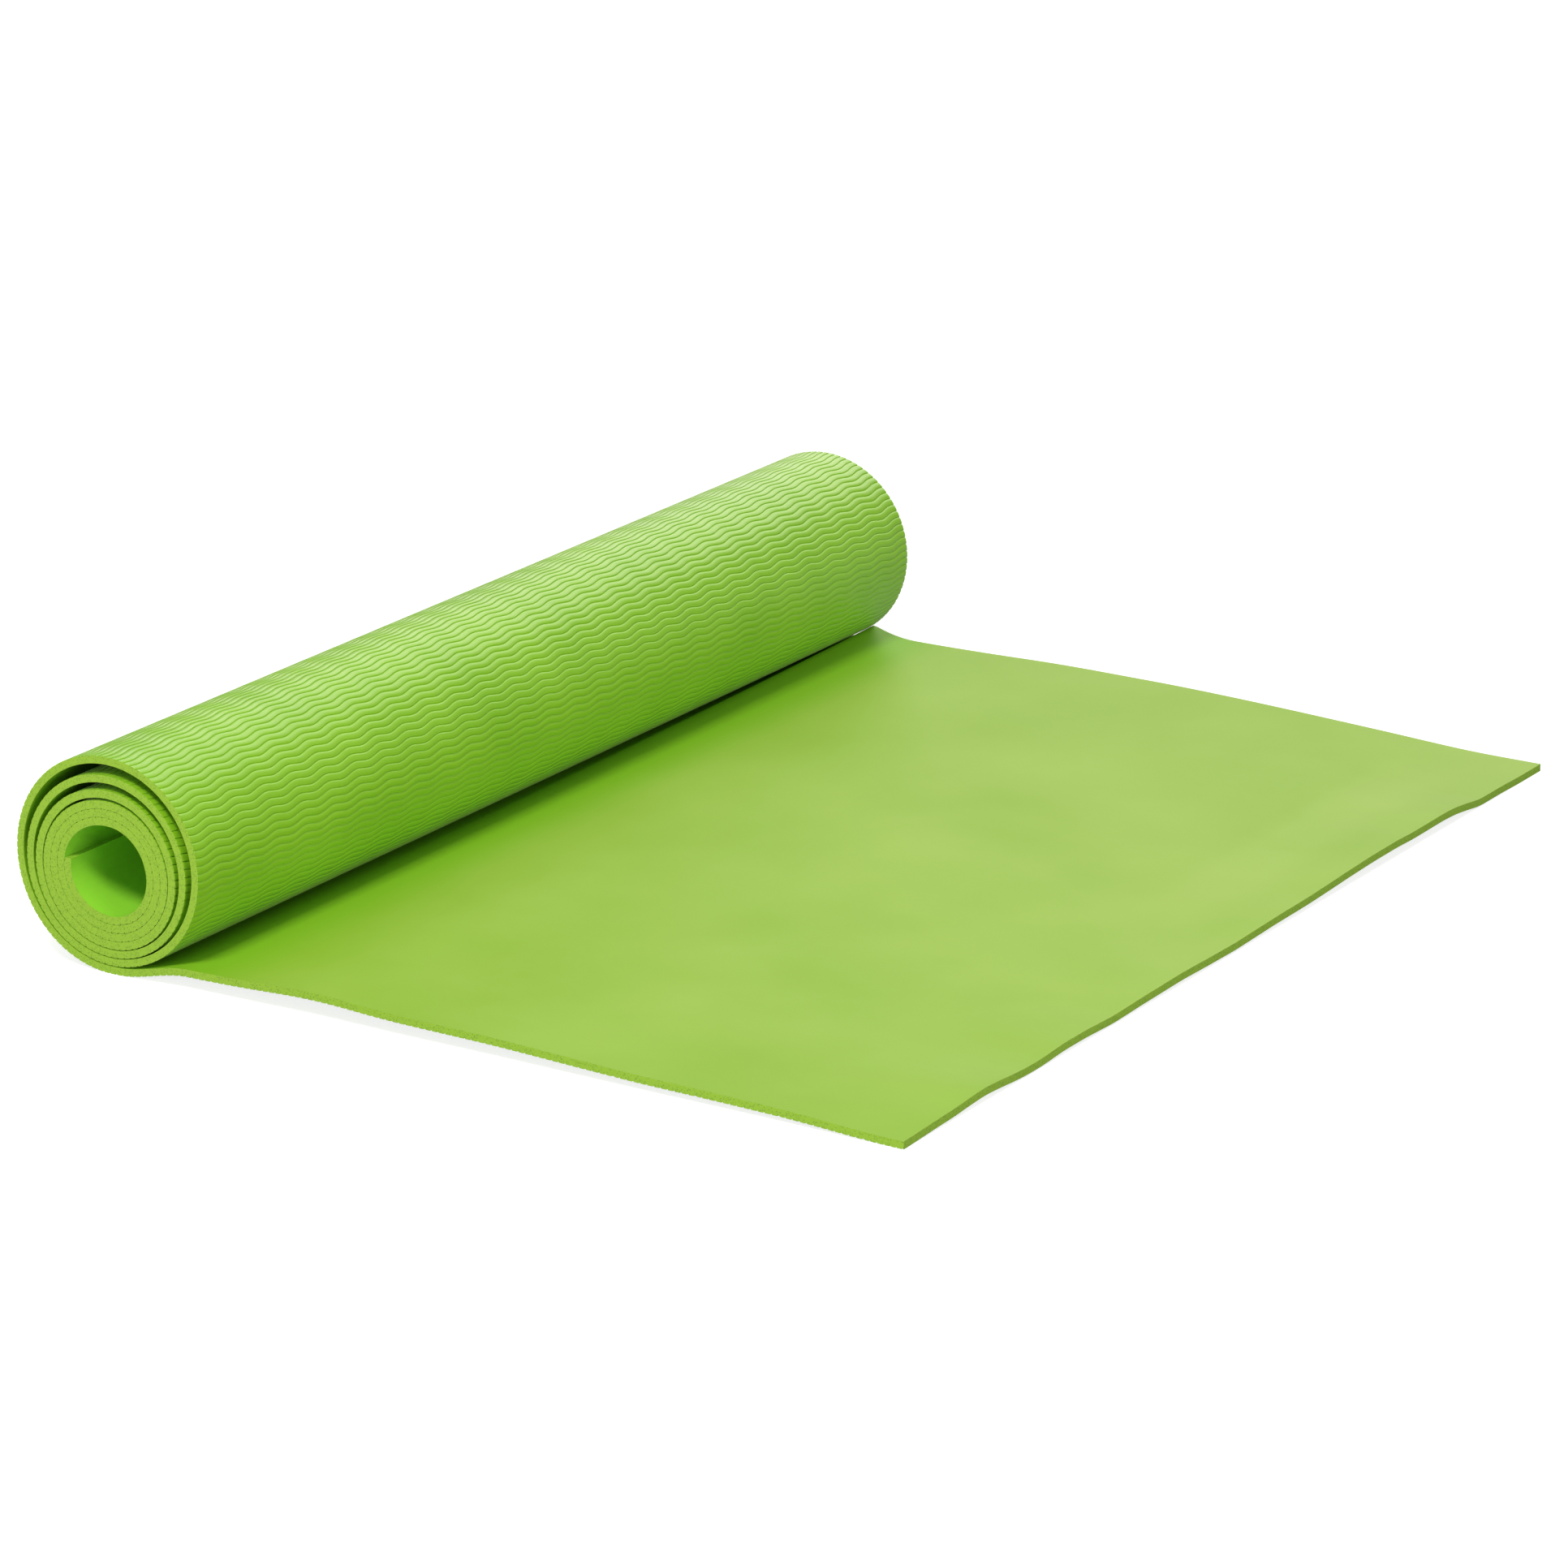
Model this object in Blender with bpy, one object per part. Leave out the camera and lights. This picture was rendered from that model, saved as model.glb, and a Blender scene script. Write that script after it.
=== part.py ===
"""A yoga mat, part rolled up: a flat stretch lies on the floor and the rest is wound on itself.

The mat is a laminate of three bonded layers: a smooth foam face on top, a woven scrim inside
and a foam base underneath. It bends, so each layer is cut where the model bends: at the lines
along which the outermost turn opens when the mat is unrolled, and along which its free end lifts.

Metres, +Z up. The origin is on the floor, under the middle of the whole mat. X runs from the
roll to the free end, and Y runs across the mat.
"""

import math

import bmesh
import bpy
from mathutils import Vector

# The sheet
MAT_LENGTH = 1.73
MAT_WIDTH = 0.61
BASE_THICKNESS = 0.0013
SCRIM_THICKNESS = 0.0005
FACE_THICKNESS = 0.0011
BOND_LINE = 0.0003

# How much of the sheet lies flat. The roll takes up the rest of it
LAID_LENGTH = 0.4

# The roll: its turns lie on each other at the bottom, and the outer ones stand off above the
# next turn and beside it, on the side of the free end
BORE_DIAMETER = 0.0415
TURN_CLEARANCE = 0.0003
SLACK_ABOVE = (0.0047, 0.003, 0.0011)
SLACK_BESIDE = (0.0013, 0.0008)
SLACK_CHANGE_SHARE = 0.25
FACETS_PER_TURN = 60
LEAST_TURN_SHARE = 1e-9

# The lines along which the mat bends
OPENING_STRIPS = 11
END_STRIPS = 3
END_STRIP_LENGTH = 0.04
HINGE_GAP = 0.0003

# Worked out from the sizes above
FULL_TURN = 2 * math.pi
SHEET_THICKNESS = BASE_THICKNESS + SCRIM_THICKNESS + FACE_THICKNESS + 2 * BOND_LINE
TURN_PITCH = SHEET_THICKNESS + TURN_CLEARANCE
BEND_ANGLE = FULL_TURN / (OPENING_STRIPS + 1)

# Each layer's lower and upper face, as heights over the underside of the sheet
SCRIM_BOTTOM = BASE_THICKNESS + BOND_LINE
FACE_BOTTOM = SCRIM_BOTTOM + SCRIM_THICKNESS + BOND_LINE
LAYERS = {
    "ribbed_base": (0, BASE_THICKNESS),
    "scrim": (SCRIM_BOTTOM, SCRIM_BOTTOM + SCRIM_THICKNESS),
    "smooth_face": (FACE_BOTTOM, SHEET_THICKNESS),
}

# Colour, roughness and metallic value of each layer
FINISHES = {
    "ribbed_base": ((0.205, 0.462, 0.028, 1), 0.62, 0),
    "scrim": ((0.72, 0.75, 0.62, 1), 0.9, 0),
    "smooth_face": ((0.366, 0.578, 0.112, 1), 0.55, 0),
}


def slack(turn, steps):
    """How far the turns wound so far have drawn in. Each step is taken around a whole turn."""
    drawn = 0
    for whole, step in enumerate(steps, start=1):
        share = (turn - whole) / SLACK_CHANGE_SHARE + 1 / 2
        share = min(max(share, 0), 1)
        drawn += step * share * share * (3 - 2 * share)
    return drawn


def radius_of(turns):
    """The radius at which the sheet starts to wind, for a roll with this many turns round its bore."""
    # Both walls of the bore's last turn are counted down from the outside of the roll
    windings = (2 * turns - 1) * TURN_PITCH + 2 * SHEET_THICKNESS + sum(SLACK_ABOVE)
    return (BORE_DIAMETER + windings) / 2


def wound_point(roll_radius, angle, height):
    """A point of a sheet that is wound up, as (x, z) from where it leaves the floor.

    The angle runs on from zero at the floor, up the far side of the roll from the free end and
    over the top, so it passes a full turn for each layer. The height is taken from the sheet's
    underside, which is the outside of the roll.
    """
    turn = angle / FULL_TURN
    sunk = slack(turn, SLACK_ABOVE) * abs(math.sin(angle / 2)) ** 3
    drawn_in = slack(turn, SLACK_BESIDE) * max(-math.sin(angle), 0) ** 2
    radius = roll_radius - TURN_PITCH * turn - sunk - drawn_in - height
    return -radius * math.sin(angle), roll_radius - radius * math.cos(angle)


def wound_line(roll_radius, start, end, height):
    """Points along a sheet that is wound up, between two angles, at a height in the sheet."""
    count = math.ceil((end - start) / FULL_TURN * FACETS_PER_TURN)
    step = (end - start) / count
    return [wound_point(roll_radius, start + n * step, height) for n in range(count + 1)]


def flat_line(start, end, height):
    """The two ends of a flat stretch of the sheet, at a height in the sheet."""
    return [(start, height), (end, height)]


def line_length(points):
    """The length of a line of straight steps."""
    return sum(math.dist(a, b) for a, b in zip(points, points[1:]))


def turns_that_take(length):
    """How many turns take up a length of the sheet, found by halving the range they can be in."""
    few, many = 0, length / (math.pi * BORE_DIAMETER)
    while many - few > LEAST_TURN_SHARE:
        turns = (few + many) / 2
        wound = wound_line(radius_of(turns), 0, turns * FULL_TURN, SHEET_THICKNESS / 2)
        if line_length(wound) < length:
            few = turns
        else:
            many = turns
    return few


TURNS = turns_that_take(MAT_LENGTH - LAID_LENGTH)
ROLL_RADIUS = radius_of(TURNS)


def rolled_line(start, end, height):
    """Points along the roll between two angles, at a height in the sheet."""
    return wound_line(ROLL_RADIUS, start, end, height)


# The whole mat reaches from the roll's far side to the free end
ROLL_REACH = -min(x for x, z in rolled_line(0, FULL_TURN, 0))
MIDDLE_X = (LAID_LENGTH - ROLL_REACH) / 2


def add_finishes():
    """One Principled material for each layer, by the layer's name."""
    made = {}
    for layer, (colour, roughness, metallic) in FINISHES.items():
        material = bpy.data.materials.new(layer)
        material.use_nodes = True
        shader = material.node_tree.nodes["Principled BSDF"]
        shader.inputs["Base Color"].default_value = colour
        shader.inputs["Roughness"].default_value = roughness
        shader.inputs["Metallic"].default_value = metallic
        material.diffuse_color = colour
        made[layer] = material
    return made


def add_hinge(name, x, z, carrier=None):
    """An empty on the line that a strip turns about, carried by the strip before it."""
    hinge = bpy.data.objects.new(name, None)
    hinge.empty_display_size = END_STRIP_LENGTH
    bpy.context.collection.objects.link(hinge)
    place = Vector((x - MIDDLE_X, 0, z))
    hinge["place"] = place
    hinge.parent = carrier
    hinge.location = place - Vector(carrier["place"]) if carrier else place
    return hinge


def add_strip(name, hinge, line, start, end, finishes):
    """The three layers of one strip of the mat, from start to end along a flat or rolled line."""
    for layer, (bottom, top) in LAYERS.items():
        add_layer(f"{name}_{layer}", hinge, line(start, end, bottom), line(start, end, top), finishes[layer])


def add_layer(name, hinge, lower, upper, finish):
    """A solid between two lines seen from the side, drawn out over the mat's width."""
    place = Vector(hinge["place"])
    shape = bmesh.new()
    rails = []
    for line in (lower, upper):
        corners = [(x - MIDDLE_X - place.x, -MAT_WIDTH / 2, z - place.z) for x, z in line]
        rails.append([shape.verts.new(corner) for corner in corners])
    under, over = rails
    for n in range(len(lower) - 1):
        shape.faces.new((under[n], under[n + 1], over[n + 1], over[n]))
    drawn = bmesh.ops.extrude_face_region(shape, geom=shape.faces[:])["geom"]
    moved = [part for part in drawn if isinstance(part, bmesh.types.BMVert)]
    bmesh.ops.translate(shape, verts=moved, vec=(0, MAT_WIDTH, 0))
    bmesh.ops.recalc_face_normals(shape, faces=shape.faces[:])

    mesh = bpy.data.meshes.new(name)
    shape.to_mesh(mesh)
    shape.free()
    mesh.shade_smooth()
    mesh.set_sharp_from_angle(angle=BEND_ANGLE)
    mesh.materials.append(finish)
    layer = bpy.data.objects.new(name, mesh)
    layer.parent = hinge
    bpy.context.collection.objects.link(layer)


def add_free_end(floor, finishes):
    """The strips at the free end, which lift off the floor about lines on their smooth face."""
    carrier = floor
    for n in range(END_STRIPS):
        start = LAID_LENGTH - (END_STRIPS - n) * END_STRIP_LENGTH
        end = start + END_STRIP_LENGTH
        outer_gap = 0 if n == END_STRIPS - 1 else HINGE_GAP / 2
        carrier = add_hinge(f"free_end_hinge_{n + 1}", start, SHEET_THICKNESS, carrier)
        add_strip(f"free_end_{n + 1}", carrier, flat_line, start + HINGE_GAP / 2, end - outer_gap, finishes)


def add_laid_sheet(floor, finishes):
    """The stretch that stays on the floor, and the first of the curve that leads into the roll."""
    end = LAID_LENGTH - END_STRIPS * END_STRIP_LENGTH - HINGE_GAP / 2
    add_strip("laid_sheet", floor, flat_line, HINGE_GAP / 2, end, finishes)
    margin = HINGE_GAP / 2 / ROLL_RADIUS
    add_strip("lead_in", floor, rolled_line, margin, BEND_ANGLE / 2 - margin, finishes)


def add_roll(floor, finishes):
    """The outermost turn in strips, which open about lines on its outside, and the core that they carry."""
    carrier = floor
    for n in range(OPENING_STRIPS + 1):
        start = (n + 1 / 2) * BEND_ANGLE
        x, z = wound_point(ROLL_RADIUS, start, 0)
        margin = HINGE_GAP / 2 / ROLL_RADIUS
        carrier = add_hinge(f"outer_turn_hinge_{n + 1:02d}", x, z, carrier)
        if n < OPENING_STRIPS:
            end = start + BEND_ANGLE - margin
            add_strip(f"outer_turn_{n + 1:02d}", carrier, rolled_line, start + margin, end, finishes)
        else:
            add_strip("rolled_core", carrier, rolled_line, start + margin, TURNS * FULL_TURN, finishes)


def build():
    """The whole mat, from an empty scene."""
    for item in list(bpy.data.objects):
        bpy.data.objects.remove(item, do_unlink=True)
    finishes = add_finishes()
    floor = add_hinge("mat", MIDDLE_X, 0)
    add_laid_sheet(floor, finishes)
    add_free_end(floor, finishes)
    add_roll(floor, finishes)
    print(f"{TURNS:.3f} turns, roll radius {ROLL_RADIUS:.4f} m, laid flat {LAID_LENGTH:.3f} m")


build()
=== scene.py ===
# %% [markdown]
# # A yoga mat, part rolled up
#
# The object is one sheet of soft foam, 1.73 m long and 0.61 m wide. About a quarter of it lies
# flat on the floor with its smooth face up. The rest is wound in a loose roll, with its wavy
# ribbed underside outwards.
#
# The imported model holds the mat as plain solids, one for each layer of each strip that moves.
# This lesson dresses them: it lays a skin of fine mesh over every strip, with the ribs, the cut
# edges and the small ripples of real foam.

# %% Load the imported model
import math

import bpy
import numpy as np
from mathutils import Matrix, Vector


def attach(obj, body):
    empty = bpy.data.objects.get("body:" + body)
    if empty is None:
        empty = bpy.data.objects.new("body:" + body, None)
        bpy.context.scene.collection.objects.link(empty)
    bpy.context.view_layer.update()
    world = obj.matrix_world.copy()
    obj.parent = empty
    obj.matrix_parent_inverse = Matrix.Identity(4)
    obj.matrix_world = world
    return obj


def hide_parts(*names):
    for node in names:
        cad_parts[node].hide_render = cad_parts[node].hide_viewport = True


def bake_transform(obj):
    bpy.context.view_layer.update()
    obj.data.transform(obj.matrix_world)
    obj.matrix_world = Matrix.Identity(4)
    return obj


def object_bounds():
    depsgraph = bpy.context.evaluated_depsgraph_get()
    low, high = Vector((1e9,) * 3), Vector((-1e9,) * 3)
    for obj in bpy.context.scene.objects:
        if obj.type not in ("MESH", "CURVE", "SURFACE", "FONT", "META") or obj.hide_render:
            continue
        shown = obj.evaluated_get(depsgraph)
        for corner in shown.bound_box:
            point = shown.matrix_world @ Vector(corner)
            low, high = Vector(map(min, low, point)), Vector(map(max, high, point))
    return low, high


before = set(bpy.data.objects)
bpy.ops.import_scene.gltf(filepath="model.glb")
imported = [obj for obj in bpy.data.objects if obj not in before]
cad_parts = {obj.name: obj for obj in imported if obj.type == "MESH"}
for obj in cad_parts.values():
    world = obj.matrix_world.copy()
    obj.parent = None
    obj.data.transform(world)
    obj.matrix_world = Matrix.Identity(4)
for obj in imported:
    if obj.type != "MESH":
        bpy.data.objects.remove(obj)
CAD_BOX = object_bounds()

MM = 0.001
print("CAD box, mm:", [round((high - low) / MM, 1) for low, high in zip(*CAD_BOX)])

# %% [markdown]
# ## The camera
#
# The photograph looks down at the mat from its free end, from about three metres away. That is
# far for an object of this size, so the lines hardly run together, which is what a long lens
# gives. The camera could be placed by eye. It is worked out instead: its place, its turn and its
# lens are the ones at which the corners of the mat and the outline of the roll fall where the
# photograph has them.

# %% Set up the camera
# The photograph's width and the lens in its pixels, and the width of the sensor in mm
IMAGE_WIDTH = 1932
FOCAL_PIXELS = 8500
SENSOR_WIDTH = 36
# In metres
CAMERA_PLACE = (1.53286, -2.59516, 0.99888)
# In degrees: round the mat, up from looking straight down, and round the line of sight
CAMERA_TURN = 30.834
CAMERA_TILT = 72.277
CAMERA_ROLL = 0.693

bpy.ops.object.select_all(action="DESELECT")
bpy.ops.object.camera_add()
camera = bpy.context.object
camera.name = "photo_camera"
camera.data.sensor_width = SENSOR_WIDTH
camera.data.lens = FOCAL_PIXELS / IMAGE_WIDTH * SENSOR_WIDTH
turned = Matrix.Rotation(math.radians(CAMERA_TURN), 4, "Z")
tilted = Matrix.Rotation(math.radians(CAMERA_TILT), 4, "X")
levelled = Matrix.Rotation(math.radians(CAMERA_ROLL), 4, "Z")
camera.matrix_world = Matrix.Translation(CAMERA_PLACE) @ turned @ tilted @ levelled
bpy.context.scene.camera = camera
print("Lens, mm:", round(camera.data.lens, 1))

# %% [markdown]
# ## The sheet's path
#
# Seen from the side, the mat is one line: flat on the floor, then wound up. Every part of the
# skin follows that line, so the line comes first. Drawing it as a curve by hand would never lie
# exactly on the solids. It is written as a rule instead, the same one that shaped the solids: the
# radius shrinks by one thickness in each turn, and the outer turns hang a little loose above the
# ones inside them.
#
# A place on the sheet has two numbers. `along` is the distance from where the sheet leaves the
# floor, positive into the roll and negative towards the free end. `across` runs over the mat's
# width from its middle.

# %% The sizes of the mat
MAT_WIDTH = 610 * MM
HALF_WIDTH = MAT_WIDTH / 2
LAID_LENGTH = 400 * MM
SHEET_THICKNESS = 3.5 * MM
FULL_TURN = 2 * math.pi
BEND_COUNT = 12
BEND_ANGLE = FULL_TURN / BEND_COUNT
MIDDLE_X = LAID_LENGTH - CAD_BOX[1].x
print("Width and flat stretch, mm:", round(MAT_WIDTH / MM), round(LAID_LENGTH / MM))

# %% The sizes of the roll
# The turns take up all of the sheet that doesn't lie flat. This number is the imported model's
TURNS = 6.2412
TURN_PITCH = 3.8 * MM
BORE_DIAMETER = 41.5 * MM
# How far the outer turns draw in, above the turn inside them and beside it. Each of these steps
# is taken around a whole turn, over this share of a turn
SLACK_ABOVE = (4.7 * MM, 3 * MM, 1.1 * MM)
SLACK_BESIDE = (1.3 * MM, 0.8 * MM)
SLACK_CHANGE_SHARE = 0.25
ROLL_RADIUS = (
    BORE_DIAMETER + (2 * TURNS - 1) * TURN_PITCH + 2 * SHEET_THICKNESS + sum(SLACK_ABOVE)
) / 2
print("Roll radius, mm:", round(ROLL_RADIUS / MM, 2))


# %% The rule of the roll
def eased(share):
    """A share from 0 to 1 that starts and ends gently."""
    share = np.clip(share, 0, 1)
    return share**2 * (3 - 2 * share)


def slack(turn, steps):
    """How far the turns wound so far have drawn in."""
    drawn = 0 * turn
    for whole, step in enumerate(steps, start=1):
        drawn = drawn + step * eased((turn - whole) / SLACK_CHANGE_SHARE + 1 / 2)
    return drawn


def wound_point(angle, height):
    """(x, z) of points on the roll, at an angle of winding and a height over the underside."""
    turn = angle / FULL_TURN
    sunk = slack(turn, SLACK_ABOVE) * np.abs(np.sin(angle / 2)) ** 3
    drawn_in = slack(turn, SLACK_BESIDE) * np.maximum(-np.sin(angle), 0) ** 2
    radius = ROLL_RADIUS - TURN_PITCH * turn - sunk - drawn_in - height
    return -radius * np.sin(angle), ROLL_RADIUS - radius * np.cos(angle)


print("Top of the roll, mm:", round(wound_point(FULL_TURN / 2, 0)[1] / MM, 2))

# %% Distances along the roll
PATH_POINTS = 9000
angles = np.linspace(0, TURNS * FULL_TURN, PATH_POINTS)
middle = np.array(wound_point(angles, SHEET_THICKNESS / 2))
steps = np.hypot(*np.diff(middle))
distances = np.concatenate([[0], np.cumsum(steps)])
WOUND_LENGTH = distances[-1]


def along_at(angle):
    """How far along the sheet an angle of winding is."""
    return np.interp(angle, angles, distances)


print("Wound up, mm:", round(WOUND_LENGTH / MM), "and one turn:", round(along_at(FULL_TURN) / MM))

# %% [markdown]
# ## The flat stretch isn't quite flat
#
# Foam that has been stored rolled up keeps some of its curl. Close to the roll the sheet arches a
# few millimetres off the floor, and its cut end ripples. A cloth simulation could give such
# shapes, but not in these places. Here the heights of the near edge, the far edge and the free
# end are read from the photograph, every few centimetres. Each line of heights is smoothed, and
# the sheet between the two edges runs straight from one to the other. Right beside the roll,
# towards the far edge, the sheet curls up against it.

# %% Heights of the edges
# Places and heights in mm. The two edges are measured from where the sheet leaves the floor, and
# the free end from the middle of the mat's width
EDGE_PLACES = (
    0, 45, 60, 75, 90, 105, 120, 135, 150, 195, 210, 240, 270, 315, 345, 360, 375, 390, 400,
)  # fmt: skip
NEAR_HEIGHTS = (
    6.0, 6.2, 6.5, 7.0, 7.8, 8.3, 7.9, 7.0, 6.4, 5.9, 5.5, 4.4, 3.4, 2.9, 2.3, 1.6, 0.7, 0.1, 0,
)  # fmt: skip
FAR_HEIGHTS = (
    4.9, 4.9, 5.0, 5.1, 5.4, 5.7, 6.2, 6.5, 6.6, 6.4, 6.2, 5.4, 4.3, 2.4, 0.9, 0.2, 0, 0, 0,
)  # fmt: skip
END_PLACES = (
    -305, -275, -262, -250, -237, -225, -212, -200, -187, -170, -150, -125, -100, -62, -37, -12,
    25, 60, 80, 100, 125, 150, 165, 200, 212, 225, 237, 262, 280, 305,
)  # fmt: skip
END_HEIGHTS = (
    0, 1.0, 1.3, 2.1, 2.6, 2.0, 1.0, 0.5, 0.6, 1.6, 1.6, 0.7, 1.3, 1.8, 1.3, 1.0,
    1.9, 2.2, 2.8, 3.5, 4.1, 4.2, 3.7, 3.9, 3.4, 2.0, 0.4, 0.4, 0, 0,
)  # fmt: skip
# How far to each side each line of heights is smoothed, in mm
NEAR_SMOOTHING = 16
FAR_SMOOTHING = 20
END_SMOOTHING = 9


def smoothed(places, heights, reach):
    """The heights as a smooth line, every millimetre from the first place to the last."""
    line = np.interp(np.arange(places[0] - reach, places[-1] + reach + 1), places, heights)
    window = np.hanning(2 * reach + 1)
    return np.convolve(line, window / window.sum(), mode="valid") * MM


near_line = smoothed(EDGE_PLACES, NEAR_HEIGHTS, NEAR_SMOOTHING)
far_line = smoothed(EDGE_PLACES, FAR_HEIGHTS, FAR_SMOOTHING)
end_line = smoothed(END_PLACES, END_HEIGHTS, END_SMOOTHING)
print("Highest, mm:", [round(line.max() / MM, 1) for line in (near_line, far_line, end_line)])


# %% Lift the flat stretch
# The sheet leaves the floor over a slope that is steeper towards the far edge
SLOPE_START = 3.5 * MM
NEAR_SLOPE_LENGTH = 38 * MM
FAR_SLOPE_LENGTH = 28 * MM
# Towards the far edge it also follows the roll up to a crest
CREST_HEIGHT = 5.9 * MM
CREST_START = 22 * MM
CREST_RISE = 8 * MM
CREST_END = 54 * MM
CREST_FALL = 28 * MM
# The ripples of the free end die out this far from it
END_REACH = 65 * MM


def lift(laid, across):
    """How far the flat stretch stands off the floor, at a distance from where the roll starts."""
    far_share = np.clip(across / MAT_WIDTH + 1 / 2, 0, 1)
    millimetre = np.arange(len(near_line)) * MM
    near, far = (np.interp(laid, millimetre, line) for line in (near_line, far_line))
    slope_length = NEAR_SLOPE_LENGTH + (FAR_SLOPE_LENGTH - NEAR_SLOPE_LENGTH) * far_share**2
    arch = (near + (far - near) * far_share) * eased((laid - SLOPE_START) / slope_length)
    rise = eased((laid - CREST_START) / CREST_RISE)
    fall = np.clip((CREST_END - laid) / CREST_FALL, 0, 1) ** 2
    arch = arch + CREST_HEIGHT * far_share**3 * rise * fall
    ripple = np.interp(across, np.arange(len(end_line)) * MM - HALF_WIDTH, end_line)
    return arch + ripple * eased(1 - (LAID_LENGTH - laid) / END_REACH)


beside_roll = lift(np.linspace(0, CREST_END, PATH_POINTS), HALF_WIDTH)
print("Crest beside the roll at the far edge, mm:", round(beside_roll.max() / MM, 1))


# %% From the sheet to the room
def sheet_point(along, across, height):
    """(x, y, z) of points given by their place on the sheet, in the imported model's frame."""
    angle = np.interp(along, distances, angles)
    wound_x, wound_z = wound_point(angle, height)
    laid = np.maximum(-along, 0)
    flat = along < 0
    x = np.where(flat, laid, wound_x)
    z = np.where(flat, height + lift(laid, across), wound_z)
    return np.stack([x - MIDDLE_X, across, z], axis=-1)


print("Inner end, mm:", (sheet_point(WOUND_LENGTH, 0, SHEET_THICKNESS) / MM).round(1))

# %% [markdown]
# ## The ribs
#
# The underside was pressed by an engraved roller, while the foam was soft. It has low flat ribs,
# 3.4 mm apart, with narrow grooves between them. A groove falls steeply on one side and rises
# gently on the other, which is what gives each rib a thin dark line and a pale lip. The ribs run
# across the mat in waves of 22 mm, and a little askew. Ribs can be painted on as bump, but these
# are seen from the side at the roll's end, where bump leaves a smooth edge. They are modelled in
# the mesh.
#
# The mesh gets a line of vertices wherever a rib's profile turns. The outermost turn is seen from
# close by and has seven lines to each rib. The rest has four.

# %% The profile of a rib
RIB_PITCH = 3.37 * MM
FIRST_GROOVE = 1.56 * MM
GROOVE_DEPTH = 0.45 * MM
# Each line's place, as a share of the pitch, and its share of the groove's depth
FINE_PROFILE = (
    (0, 1), (0.05, 0.72), (0.12, 0.4), (0.19, 0.14), (0.27, 0), (0.91, 0), (0.955, 0.3),
)  # fmt: skip
PLAIN_PROFILE = ((0, 1), (0.13, 0.35), (0.27, 0), (0.93, 0))
# No line lies closer than this to the end of a strip
LEAST_SPACING = 0.05 * MM


def rib_top(along):
    """The top of the rib nearest to a place along the sheet."""
    return FIRST_GROOVE + (round((along - FIRST_GROOVE) / RIB_PITCH - 1 / 2) + 1 / 2) * RIB_PITCH


def rib_lines(start, end, profile):
    """Where the lines across the sheet run, and how deep each lies in its groove."""
    places, depths = np.array([*profile, (1, 1)]).T
    ribs = np.arange(math.floor(start / RIB_PITCH), math.ceil(end / RIB_PITCH) + 1)
    lines = FIRST_GROOVE + ((ribs[:, None] + places[:-1]) * RIB_PITCH).ravel()
    lines = lines[(lines > start + LEAST_SPACING) & (lines < end - LEAST_SPACING)]
    lines = np.concatenate([[start], lines, [end]])
    return lines, GROOVE_DEPTH * np.interp((lines - FIRST_GROOVE) / RIB_PITCH % 1, places, depths)


print("Ribs from end to end:", round((LAID_LENGTH + WOUND_LENGTH) / RIB_PITCH))

# %% The wave of the ribs
WAVE_LENGTH = 21.85 * MM
WAVE_SWING = 0.75 * MM
WAVE_SHIFT = 0.86 * MM
# How far a rib drifts along the sheet, as a share of the distance across it
SKEW_SHARE = 0.0049
# The ribs straighten out over this distance before both cut ends
STRAIGHTENED = 10 * MM


def wave(along, across):
    """How far a rib lies off a straight line across the sheet."""
    swing = WAVE_SWING * np.sin(FULL_TURN * (across - WAVE_SHIFT) / WAVE_LENGTH)
    to_the_cut = np.minimum(along + LAID_LENGTH, WOUND_LENGTH - along)
    return (swing + SKEW_SHARE * across) * np.clip(to_the_cut / STRAIGHTENED, 0, 1)


print("Waves across the mat:", round(MAT_WIDTH / WAVE_LENGTH, 1))

# %% [markdown]
# ## The skin
#
# Every strip of the mat starts as a grid and is extruded upwards into a slab, so it is closed
# from the start and has its cut edges. Then each vertex is moved to its place on the sheet's
# path. This is how a printed cloth pattern would be wrapped round a roll, and it keeps the ribs
# the same size everywhere.
#
# Two strips that meet share the same line of vertices on top of a rib, so no seam shows. The
# texture follows the sheet, because the slab's flat layout is kept as a UV map, in metres.

# %% Rows of vertices across the sheet
# One wave of the ribs spans nine rows of the fine mesh, and five of the plain one
FINE_ROW_COUNT = 255
PLAIN_ROW_COUNT = 141
# Inside the roll only the ends can be seen, so the rows are close together there
INNER_END_LENGTH = 60 * MM
INNER_END_ROW_COUNT = 16
INNER_MIDDLE_ROW_COUNT = 15

FINE_ROWS = np.linspace(-HALF_WIDTH, HALF_WIDTH, FINE_ROW_COUNT)
PLAIN_ROWS = np.linspace(-HALF_WIDTH, HALF_WIDTH, PLAIN_ROW_COUNT)
end_rows = np.linspace(0, INNER_END_LENGTH, INNER_END_ROW_COUNT)
middle_rows = np.linspace(INNER_END_LENGTH, MAT_WIDTH - INNER_END_LENGTH, INNER_MIDDLE_ROW_COUNT)
INNER_ROWS = np.concatenate([end_rows, middle_rows[1:-1], MAT_WIDTH - end_rows[::-1]]) - HALF_WIDTH
print("Rows:", len(FINE_ROWS), len(PLAIN_ROWS), len(INNER_ROWS))

# %% The finishes, filled in later
UNDERSIDE = bpy.data.materials.new("ribbed_foam_underside")
TOP = bpy.data.materials.new("smooth_foam_face")
CUT = bpy.data.materials.new("cut_foam_edge")
FINISHES = (UNDERSIDE, TOP, CUT)
UNDERSIDE_SLOT, TOP_SLOT, CUT_SLOT = range(len(FINISHES))
print("Finishes:", [finish.name for finish in FINISHES])

# %% A slab with the right number of lines and rows
SLAB_SIZE = 1
# A face that looks up or down by more than this is the top or the underside
LOOKS_UP = 0.5


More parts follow.
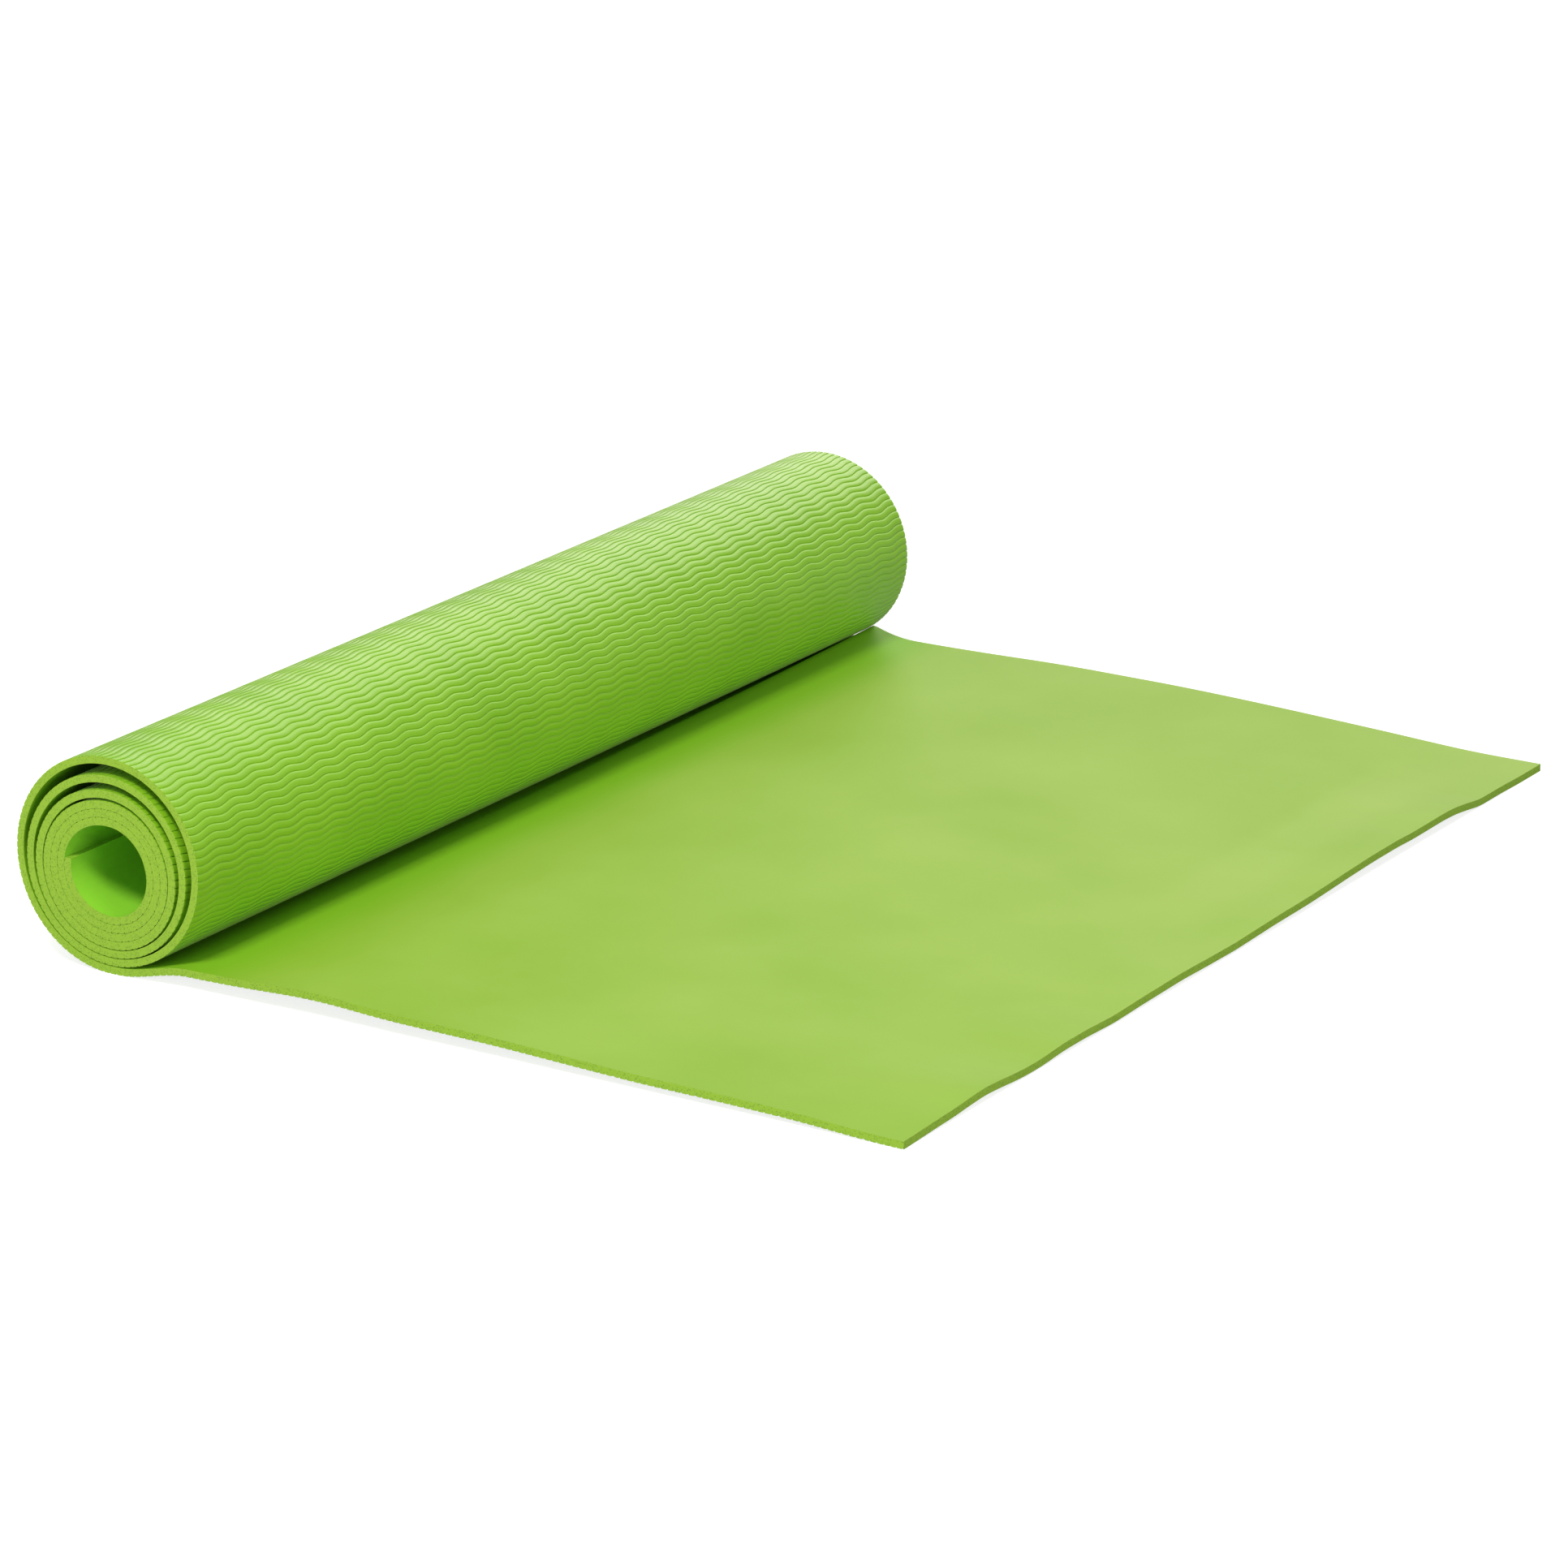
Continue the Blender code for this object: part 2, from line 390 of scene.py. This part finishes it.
def add_slab(name, lines, rows):
    """A closed slab, one unit wide, long and high, with its faces sorted by their finish."""
    bpy.ops.object.select_all(action="DESELECT")
    bpy.ops.mesh.primitive_grid_add(
        x_subdivisions=len(lines) - 1, y_subdivisions=len(rows) - 1, size=SLAB_SIZE, calc_uvs=False
    )
    slab = bpy.context.object
    slab.name = slab.data.name = name
    bpy.ops.object.mode_set(mode="EDIT")
    bpy.ops.mesh.extrude_region_move(TRANSFORM_OT_translate={"value": (0, 0, SLAB_SIZE)})
    bpy.ops.mesh.select_all(action="SELECT")
    bpy.ops.mesh.normals_make_consistent(inside=False)
    bpy.ops.object.mode_set(mode="OBJECT")
    for finish in FINISHES:
        slab.data.materials.append(finish)
    for face in slab.data.polygons:
        if face.normal.z > LOOKS_UP:
            face.material_index = TOP_SLOT
        elif face.normal.z < -LOOKS_UP:
            face.material_index = UNDERSIDE_SLOT
        else:
            face.material_index = CUT_SLOT
    return slab


# %% The foam is fuller inside the roll, where nothing has flattened it
INNER_THICKNESS = 3.72 * MM
THIN_TURNS = 2.05
THICK_TURNS = 2.3
thin_until = along_at(THIN_TURNS * FULL_TURN)
thick_from = along_at(THICK_TURNS * FULL_TURN)


def thickness(along):
    """The sheet's thickness at a place along it."""
    share = eased((along - thin_until) / (thick_from - thin_until))
    return SHEET_THICKNESS + (INNER_THICKNESS - SHEET_THICKNESS) * share


print("Thick from, mm along the sheet:", round(thick_from / MM))


# %% Lay a slab along the sheet's path
def lay_slab(slab, lines, depths, rows):
    """Moves each vertex of a slab to its place on the sheet, and keeps it as a UV map."""
    mesh = slab.data
    corners = np.empty(len(mesh.vertices) * 3)
    mesh.vertices.foreach_get("co", corners)
    corners = corners.reshape(-1, 3)
    line = np.rint((corners[:, 0] + SLAB_SIZE / 2) * (len(lines) - 1)).astype(int)
    row = np.rint((corners[:, 1] + SLAB_SIZE / 2) * (len(rows) - 1)).astype(int)
    on_top = corners[:, 2] > SLAB_SIZE / 2

    across = rows[row]
    along = lines[line]
    ribbed = np.where(on_top, along, along + wave(along, across))
    height = np.where(on_top, thickness(along), depths[line])
    mesh.vertices.foreach_set("co", sheet_point(ribbed, across, height).ravel())

    layout = mesh.uv_layers.new(name="sheet")
    vertex = np.empty(len(mesh.loops), int)
    mesh.loops.foreach_get("vertex_index", vertex)
    layout.uv.foreach_set("vector", np.stack([ribbed, across], axis=-1)[vertex].ravel())
    mesh.update()


# %% One strip of the mat
SMOOTH_ANGLE = math.radians(45)


def add_strip(name, start, end, profile, rows):
    """A finished strip of the mat, from start to end along the sheet."""
    lines, depths = rib_lines(start, end, profile)
    strip = add_slab(name, lines, rows)
    lay_slab(strip, lines, depths, rows)
    bpy.ops.object.shade_smooth_by_angle(angle=SMOOTH_ANGLE)
    triangles = sum(len(face.vertices) - 2 for face in strip.data.polygons)
    print(f"{name}: {(end - start) / MM:.1f} mm, {triangles} triangles")
    return strip


# %% [markdown]
# ## Strips that ride on one solid and strips that span a hinge
#
# The imported model opens along straight hinge lines. Real foam has none: it bends evenly. So each
# strip of the skin reaches from the middle of one solid to the middle of the next, over the hinge
# between them.


def layers(solid):
    """The names of a solid's three layers."""
    return [f"{solid}_{layer}" for layer in ("ribbed_base", "scrim", "smooth_face")]


def carry(strip, body):
    """A strip that moves with one solid."""
    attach(strip, body)


def bend(strip):
    """A strip that lies over the hinge between two solids, with its place baked into its mesh."""
    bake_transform(strip)


print("Layers of one solid:", layers("laid_sheet"))

# %% [markdown]
# ## The flat stretch and the free end
#
# The flat stretch stays on the floor. The last 120 mm of the mat can be lifted, in three bends.

# %% The flat stretch
# Where the strips of the free end meet, measured from where the sheet leaves the floor. The tops
# of the ribs are wide, so the places that mirror those of the roll's ribs lie on a top too
FREE_END_MARKS = (260 * MM, 300 * MM, 340 * MM, 380 * MM)
free_marks = [-rib_top(mark) for mark in FREE_END_MARKS]
lead_start = rib_top(0)
laid_mat = add_strip("laid_mat", free_marks[0], lead_start, PLAIN_PROFILE, PLAIN_ROWS)
carry(laid_mat, "laid_sheet")
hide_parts(*layers("laid_sheet"))

# %% The free end
bodies = ["laid_sheet", "free_end_1", "free_end_2", "free_end_3"]
for number, (start, end) in enumerate(zip(free_marks, free_marks[1:])):
    strip = add_strip(f"free_end_bend_{number + 1}", end, start, PLAIN_PROFILE, PLAIN_ROWS)
    bend(strip)
    if number:
        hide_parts(*layers(bodies[number]))

free_end_tip = add_strip("free_end_tip", -LAID_LENGTH, free_marks[-1], PLAIN_PROFILE, PLAIN_ROWS)
carry(free_end_tip, "free_end_3")
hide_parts(*layers("free_end_3"))

# %% [markdown]
# ## The outermost turn
#
# It opens in twelve bends. This is what the photograph shows best, so its strips have the finest
# mesh. The first strip also takes the place of the solid that leads into the roll.

# %% The outermost turn
turn_marks = [rib_top(along_at(n * BEND_ANGLE)) for n in range(BEND_COUNT + 1)]
solids = ["laid_sheet", *[f"outer_turn_{n:02d}" for n in range(1, BEND_COUNT)], "rolled_core"]
for number, (start, end) in enumerate(zip(turn_marks, turn_marks[1:])):
    strip = add_strip(f"outer_turn_skin_{number + 1:02d}", start, end, FINE_PROFILE, FINE_ROWS)
    bend(strip)
    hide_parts(*layers(solids[number] if number else "lead_in"))

# %% [markdown]
# ## The turns inside
#
# They move as one. The second turn comes to the outside when the mat is unrolled by a turn, so
# its rows are evenly close all the way across. Further in, only the ends and the bore are ever
# seen.

# %% The second turn and the inner turns
# How many turns are wound at the middle and at the end of the second turn
SECOND_MIDDLE, SECOND_END = 1.5, 2
second_middle = rib_top(along_at(SECOND_MIDDLE * FULL_TURN))
second_end = rib_top(along_at(SECOND_END * FULL_TURN))
second_turn_rear = add_strip(
    "second_turn_rear", turn_marks[-1], second_middle, PLAIN_PROFILE, PLAIN_ROWS
)
second_turn_front = add_strip(
    "second_turn_front", second_middle, second_end, PLAIN_PROFILE, PLAIN_ROWS
)
inner_turns = add_strip("inner_turns", second_end, WOUND_LENGTH, PLAIN_PROFILE, INNER_ROWS)
for strip in (second_turn_rear, second_turn_front, inner_turns):
    carry(strip, "rolled_core")
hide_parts(*layers("rolled_core"))


# %% [markdown]
# ## Materials
#
# The mat is closed-cell PVC foam, dyed right through. It has three surfaces: the underside that
# was pressed with ribs, the face that ran over a smooth roller, and the edges, where a blade has
# opened the cells. PVC foam is as glossy as soft rubber, with an IOR of 1.5.

# %% Colours and nodes
FOAM_IOR = 1.5


def colour(code):
    """A colour written as sRGB hex, turned to the linear values that shaders work with."""
    values = [int(code[n : n + 2], 16) / 255 for n in (1, 3, 5)]
    return (*[v / 12.92 if v <= 0.04045 else ((v + 0.055) / 1.055) ** 2.4 for v in values], 1)


def fill(node, inputs):
    """Sets each of a node's inputs to a value, or links it to a socket."""
    for socket, value in inputs.items():
        if isinstance(value, bpy.types.NodeSocket):
            node.id_data.links.new(value, node.inputs[socket])
        else:
            node.inputs[socket].default_value = value


def add_node(material, kind, inputs=(), **settings):
    """A new node, with its settings and its inputs."""
    node = material.node_tree.nodes.new("ShaderNode" + kind)
    for name, value in settings.items():
        setattr(node, name, value)
    fill(node, dict(inputs))
    return node


def plain_shader(material):
    """The material's own Principled shader."""
    material.use_nodes = True
    return material.node_tree.nodes["Principled BSDF"]


print("Green of the smooth face, linear:", [round(value, 3) for value in colour("#A1C84E")])

# %% [markdown]
# ### The ribbed underside
#
# It is rough enough that its highlight is a broad pale veil, which lies on the roll's top where
# the light from behind glances off it. A trace of sheen stands for the fluff of a rubbed surface.
# The roller leaves a fine matt grain. The grain of the real mat, at about 0.2 mm, is too fine to
# show here, so it is drawn at 0.8 mm. The colour wanders a little over some centimetres, where
# the foam is more or less dense.

# %% The ribbed underside
RIBBED_TINTS = ((0.35, "#89C61C"), (0.65, "#91CC24"))
RIBBED_DRIFT_SIZE = 60 * MM
RIBBED_GRAIN_SIZE = 0.8 * MM
RIBBED_GRAIN_DEPTH = 0.05 * MM

shader = plain_shader(UNDERSIDE)
fill(shader, {"Roughness": 0.4, "IOR": FOAM_IOR, "Specular IOR Level": 0.85})
fill(shader, {"Sheen Weight": 0.1, "Sheen Roughness": 0.3, "Sheen Tint": colour("#FFF3D8")})
place = add_node(UNDERSIDE, "UVMap", uv_map="sheet").outputs["UV"]
wander = {"Vector": place, "Scale": 1 / RIBBED_DRIFT_SIZE, "Detail": 3}
drift = add_node(UNDERSIDE, "TexNoise", wander)
tint = add_node(UNDERSIDE, "ValToRGB", {"Fac": drift.outputs["Fac"]})
for stop, (position, code) in zip(tint.color_ramp.elements, RIBBED_TINTS):
    stop.position = position
    stop.color = colour(code)
matt = {"Vector": place, "Scale": 1 / RIBBED_GRAIN_SIZE, "Detail": 2}
grain = add_node(UNDERSIDE, "TexNoise", matt).outputs["Fac"]
relief = {"Height": grain, "Strength": 0.25, "Distance": RIBBED_GRAIN_DEPTH}
bumps = add_node(UNDERSIDE, "Bump", relief)
fill(shader, {"Base Color": tint.outputs["Color"], "Normal": bumps.outputs["Normal"]})
print(UNDERSIDE.name, "has", len(UNDERSIDE.node_tree.nodes), "nodes")

# %% [markdown]
# ### The smooth face
#
# The same foam, pressed flat and more matt. It has hardly any grain, and it shows faint pale
# clouds where the skin is thinner. The flat stretch is paler in its far half and less pale towards
# its near edge. In the far half, 25 to 60 mm from the free end, a pale band is painted highlight:
# it stands in for light caught where the sheet curls up. The part that is still rolled up gets a
# deeper green that is painted shade, the saturated green of the shade inside and under the roll.

# %% The smooth face's own green, paler in its far half
FACE_TINTS = ((0.1, "#8FBC30"), (0.75, "#A1C84E"))
CLOUD_SIZE = 90 * MM
# How much less pale the near edge is than the middle of the mat
NEAR_EDGE_PALENESS = -0.3

shader = plain_shader(TOP)
fill(shader, {"Roughness": 0.6, "IOR": FOAM_IOR, "Specular IOR Level": 0.25})
place = add_node(TOP, "UVMap", uv_map="sheet").outputs["UV"]
split = add_node(TOP, "SeparateXYZ", {"Vector": place})
cloudy = {"Vector": place, "Scale": 1 / CLOUD_SIZE, "Detail": 4, "Roughness": 0.45}
clouds = add_node(TOP, "TexNoise", cloudy).outputs["Fac"]
span = {"From Min": -HALF_WIDTH, "From Max": 0, "To Min": NEAR_EDGE_PALENESS, "To Max": 0}
paling = {"Value": split.outputs["Y"], **span}
paling = add_node(TOP, "MapRange", paling, interpolation_type="SMOOTHSTEP")
paleness = add_node(TOP, "Math", {0: clouds, 1: paling.outputs["Result"]}, operation="ADD")
tint = add_node(TOP, "ValToRGB", {"Fac": paleness.outputs[0]})
for stop, (position, code) in zip(tint.color_ramp.elements, FACE_TINTS):
    stop.position = position
    stop.color = colour(code)
face_colour = tint.outputs["Color"]
print("Clouds in the mat's width:", round(MAT_WIDTH / CLOUD_SIZE, 1))

# %% The pale band near the free end, a painted highlight where the sheet curls up
# Painted highlight: a pale band that stands in for the light caught where the sheet curls up near
# the free end
BAND_HIGHLIGHT_COLOUR = "#A8CC56"
# The axis of each of its four sides, where the side starts, and where it is full
BAND_SIDES = (
    ("X", -330 * MM, -350 * MM),
    ("X", -388 * MM, -362 * MM),
    ("Y", -40 * MM, 50 * MM),
    ("Y", 292 * MM, 235 * MM),
)

band = clouds
for axis, outside, inside in BAND_SIDES:
    side = {"Value": split.outputs[axis], "From Min": outside, "From Max": inside}
    edge = add_node(TOP, "MapRange", side, interpolation_type="SMOOTHSTEP")
    both = {0: band, 1: edge.outputs["Result"]}
    band = add_node(TOP, "Math", both, operation="MULTIPLY").outputs[0]
mixed = {"Factor": band, "A": face_colour, "B": colour(BAND_HIGHLIGHT_COLOUR)}
face_colour = add_node(TOP, "Mix", mixed, data_type="RGBA").outputs["Result"]
print("Sides of the band:", len(BAND_SIDES))

# %% Painted shade on the part that is still rolled up and beside the roll, and the innermost turn
# Painted shade: a deeper, more saturated green on the rolled-up part stands in for the shade
# inside and under the roll. It fades out on the flat stretch, 45 to 80 mm from where the sheet
# leaves the floor
ROLL_SHADE_COLOUR = "#82BC20"
ROLL_SHADE_UNTIL = -45 * MM
ROLL_SHADE_FADED_BY = -80 * MM
# Foam lets some light through, so the bore glows. A lighter green stands in for that
INNERMOST_COLOUR = "#94DA38"
INNERMOST_FROM = WOUND_LENGTH - 230 * MM
INNERMOST_FULL = WOUND_LENGTH - 170 * MM

roll_shade_fade = {"Value": split.outputs["X"], "From Min": ROLL_SHADE_UNTIL, "From Max": ROLL_SHADE_FADED_BY}
roll_shade_fade = add_node(TOP, "MapRange", roll_shade_fade, interpolation_type="SMOOTHSTEP")
mixed = {"Factor": roll_shade_fade.outputs["Result"], "A": colour(ROLL_SHADE_COLOUR), "B": face_colour}
face_colour = add_node(TOP, "Mix", mixed, data_type="RGBA").outputs["Result"]
innermost = {"Value": split.outputs["X"], "From Min": INNERMOST_FROM, "From Max": INNERMOST_FULL}
innermost = add_node(TOP, "MapRange", innermost)
mixed = {"Factor": innermost.outputs["Result"], "A": face_colour, "B": colour(INNERMOST_COLOUR)}
face_colour = add_node(TOP, "Mix", mixed, data_type="RGBA").outputs["Result"]
print("Lighter from, mm along the sheet:", round(INNERMOST_FROM / MM))

# %% The smooth face's grain
FACE_GRAIN_SIZE = 1.2 * MM
FACE_GRAIN_DEPTH = 0.04 * MM

matt = {"Vector": place, "Scale": 1 / FACE_GRAIN_SIZE, "Detail": 2}
grain = add_node(TOP, "TexNoise", matt).outputs["Fac"]
bumps = add_node(TOP, "Bump", {"Height": grain, "Strength": 0.15, "Distance": FACE_GRAIN_DEPTH})
fill(shader, {"Base Color": face_colour, "Normal": bumps.outputs["Normal"]})
print(TOP.name, "has", len(TOP.node_tree.nodes), "nodes")

# %% [markdown]
# ### The cut edges
#
# A blade went through the foam and left its cells open: an edge that is paler and more matt, with
# fine darker dots. The cells are some 0.3 mm across. They are drawn at 1 mm.

# %% The cut edges
CUT_TINTS = ((0.05, "#6A9A22"), (0.45, "#94BE32"))
CELL_SIZE = 1 * MM

shader = plain_shader(CUT)
place = add_node(CUT, "TexCoord").outputs["Object"]
cells = add_node(CUT, "TexVoronoi", {"Vector": place, "Scale": 1 / CELL_SIZE})
tint = add_node(CUT, "ValToRGB", {"Fac": cells.outputs["Distance"]})
for stop, (position, code) in zip(tint.color_ramp.elements, CUT_TINTS):
    stop.position = position
    stop.color = colour(code)
fill(shader, {"Roughness": 0.7, "IOR": FOAM_IOR, "Base Color": tint.outputs["Color"]})
print(CUT.name, "has", len(CUT.node_tree.nodes), "nodes")

# %% [markdown]
# ## The floor and the light
#
# The mat was photographed on white, in soft light. The key lamp is small and stands high beyond
# the mat's near edge, nearly in line with the roll, because the shadow of the roll on the flat
# stretch is deep, narrow and crisp. A wide lamp behind gives the veil on the roll's top, a low
# one at the side of the free end lights the roll's face, and a low one in front reaches into the
# roll's end. The floor is a pale grey for the light that falls on it, so that not too much comes
# back up under the roll. A glow is added for the camera alone, so the floor comes out white and
# still keeps the mat's soft shadow. The room is white for the camera too. It isn't for glossy
# rays: nothing here is metal or glass, and a white room all round would lay a veil on the roll's
# lower side, where the real one has none.

# %% The floor
# In metres: it reaches past everything that the camera sees
FLOOR_SIZE = 14
FLOOR_COLOUR = "#B4B4B4"
FLOOR_GLOW = 0.8
WHITE = "#FFFFFF"

bpy.ops.object.select_all(action="DESELECT")
bpy.ops.mesh.primitive_plane_add(size=FLOOR_SIZE)
floor = bpy.context.object
floor.name = "studio_floor"
PAPER = bpy.data.materials.new("white_paper_floor")
shader = plain_shader(PAPER)
rays = add_node(PAPER, "LightPath").outputs["Is Camera Ray"]
seen = add_node(PAPER, "Math", {0: rays, 1: FLOOR_GLOW}, operation="MULTIPLY")
fill(shader, {"Base Color": colour(FLOOR_COLOUR), "Roughness": 0.9, "Specular IOR Level": 0})
fill(shader, {"Emission Color": colour(WHITE), "Emission Strength": seen.outputs[0]})
floor.data.materials.append(PAPER)
print("Floor, m:", list(floor.dimensions[:2]))

# %% The lamps
# Places and sizes in metres
MAT_CENTRE = (0, 0, 0.05)
# Each lamp's place, what it is aimed at, its width and height, its colour, and its power in watts
LAMPS = {
    "key_softbox": ((0.16, -1.75, 2.4), MAT_CENTRE, (0.6, 0.6), "#FFFCF4", 51),
    "back_softbox": ((-0.65, 3.1, 1.6), MAT_CENTRE, (2.9, 2.4), "#FFFAEA", 64),
    "fill_softbox": ((2.7, -1.2, 0.75), MAT_CENTRE, (1.4, 1), "#FFFDF6", 27),
    "low_softbox": ((-0.3, -2.9, 0.6), (0, -0.2, 0.05), (3.2, 1.1), WHITE, 27),
}

bpy.ops.object.select_all(action="DESELECT")
for name, (place, target, (width, height), tone, power) in LAMPS.items():
    bpy.ops.object.light_add(type="AREA", location=place)
    lamp = bpy.context.object
    lamp.name = name
    lamp.data.shape = "RECTANGLE"
    lamp.data.size = width
    lamp.data.size_y = height
    lamp.visible_camera = False
    lamp.data.color = colour(tone)[:3]
    lamp.data.energy = power
    lamp.rotation_euler = (Vector(target) - Vector(place)).to_track_quat("-Z", "Y").to_euler()
    print(f"{name}: {(Vector(target) - Vector(place)).length:.1f} m away, {power} W")

# %% The room
# How strong its white is as a light on the mat, and as the camera sees it
ROOM_LIGHT = 0.22
ROOM_FOR_CAMERA = 1.0

room = bpy.data.worlds.new("studio")
bpy.context.scene.world = room
room.use_nodes = True
rays = add_node(room, "LightPath").outputs["Is Camera Ray"]
strength = {"Value": rays, "To Min": ROOM_LIGHT, "To Max": ROOM_FOR_CAMERA}
strength = add_node(room, "MapRange", strength).outputs["Result"]
fill(room.node_tree.nodes["Background"], {"Color": colour(WHITE), "Strength": strength})
bpy.context.scene.view_settings.view_transform = "Standard"
print("View transform:", bpy.context.scene.view_settings.view_transform)
